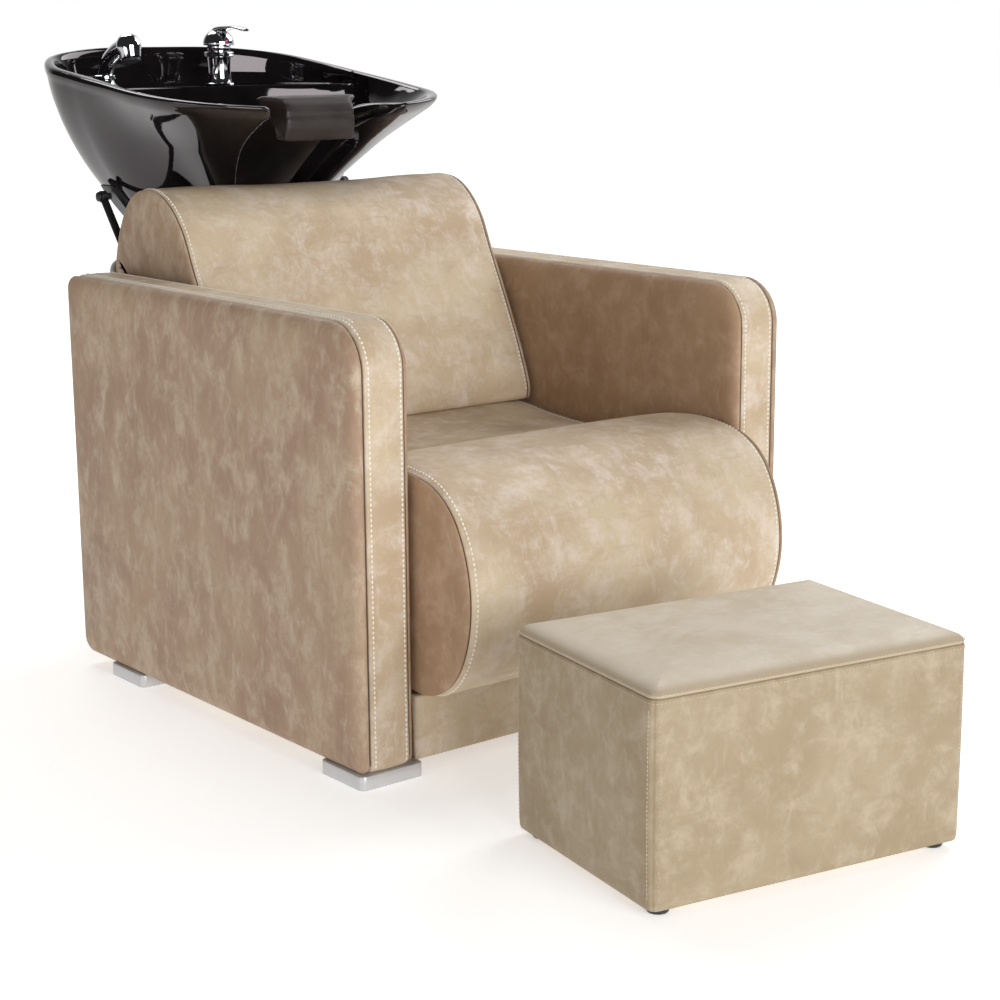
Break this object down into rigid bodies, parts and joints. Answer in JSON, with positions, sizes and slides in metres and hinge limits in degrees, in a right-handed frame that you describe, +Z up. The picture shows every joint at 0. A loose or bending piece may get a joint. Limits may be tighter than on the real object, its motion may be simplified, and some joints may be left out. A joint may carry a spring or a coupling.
{
  "type": "shampoo backwash unit",
  "caption": "Upholstered armchair with a tilting ceramic hair-wash basin behind its backrest, lever mixer, pull-out hand shower, neck rest and a matching footstool.",
  "frame": {"origin": "middle of the floor area covered by the chair, the basin and the footstool, on the floor", "axes": "+Z up, +Y from the footstool and the seat's front back to the basin, +X to the sitter's left"},
  "size_m": [0.75, 1.7083, 0.965],
  "materials": {
    "leather": "distressed tan leatherette",
    "leather_side": "distressed darker tan leatherette",
    "plywood": "raw birch plywood",
    "black_steel": "black powder coat",
    "steel": "satin",
    "ceramic": "black gloss glaze",
    "pad_rubber": "matte moulded gel pad",
    "chrome": "polished",
    "plastic": "fine texture",
    "indicator": "gloss"
  },
  "bodies": {
    "chair": {"arm_outer_panel_left": "leather_side", "arm_wrap_strip_left": "leather", "arm_frame_left": "plywood", "arm_inner_panel_left": "leather", "arm_outer_panel_right": "leather_side", "arm_wrap_strip_right": "leather", "arm_frame_right": "plywood", "arm_inner_panel_right": "leather", "foot_front_left": "steel", "foot_rear_left": "steel", "foot_front_right": "steel", "foot_rear_right": "steel", "seat_cushion": "leather", "seat_deck": "plywood", "kick_panel": "leather", "front_rail": "plywood", "rear_rail": "plywood", "side_rail_left": "plywood", "deck_leg_front_left": "plywood", "side_rail_right": "plywood", "deck_leg_front_right": "plywood", "back_cushion": "leather", "back_board": "plywood", "rear_cover": "plastic", "support_crossbar": "black_steel", "support_column": "black_steel", "column_foot": "plastic", "column_plate": "black_steel", "strut_left": "black_steel", "pivot_bolt_left": "steel", "strut_right": "black_steel", "pivot_bolt_right": "steel"},
    "basin_unit": {"basin": "ceramic", "cradle_band": "black_steel", "waste_flange": "chrome", "waste_nut": "plastic", "waste_tailpiece": "plastic", "mixer_base_ring": "chrome", "mixer_body": "chrome", "mixer_collar": "chrome", "handset_guide": "chrome", "handset_guide_collar": "chrome"},
    "mixer_cartridge": {"mixer_cartridge": "chrome"},
    "mixer_lever": {"mixer_lever": "chrome", "mixer_indicator": "indicator"},
    "hand_shower": {"handset": "chrome", "spray_face": "plastic"},
    "neck_rest": {"neck_rest": "pad_rubber"},
    "strainer": {"strainer": "chrome"},
    "tilt_lever": {"tilt_lever": "plastic"},
    "footstool": {"stool_body": "leather", "stool_top": "leather", "stool_base_board": "plywood", "stool_foot_front_left": "plastic", "stool_foot_front_right": "plastic", "stool_foot_rear_left": "plastic", "stool_foot_rear_right": "plastic"}
  },
  "joints": [
    {"name": "basin_tilt", "type": "hinge", "parent": "chair", "child": "basin_unit", "pos_m": [0, 0.65234, 0.7], "axis": [1, 0, 0], "range_deg": [-14, 3]},
    {"name": "tilt_lock", "type": "hinge", "parent": "chair", "child": "tilt_lever", "pos_m": [0.24, 0.65234, 0.7], "axis": [1, 0, 0], "range_deg": [-60, 0]},
    {"name": "mixer_swivel", "type": "hinge", "parent": "basin_unit", "child": "mixer_cartridge", "pos_m": [0.065, 0.75835, 0.93], "axis": [0, 0, 1], "range_deg": [-50, 50]},
    {"name": "mixer_lift", "type": "hinge", "parent": "mixer_cartridge", "child": "mixer_lever", "pos_m": [0.065, 0.75835, 0.93], "axis": [1, 0, 0], "range_deg": [-20, 0]},
    {"name": "hand_shower_lift", "type": "slide", "parent": "basin_unit", "child": "hand_shower", "axis": [0, 0, 1], "range_m": [0, 0.3]},
    {"name": "neck_rest_lift", "type": "slide", "parent": "basin_unit", "child": "neck_rest", "axis": [0, 0, 1], "range_m": [0, 0.12]},
    {"name": "strainer_lift", "type": "slide", "parent": "basin_unit", "child": "strainer", "axis": [0, 0, 1], "range_m": [0, 0.2]},
    {"name": "footstool_slide", "type": "slide", "parent": "chair", "child": "footstool", "axis": [0, 1, 0], "range_m": [-0.35, 0.08]}
  ]
}
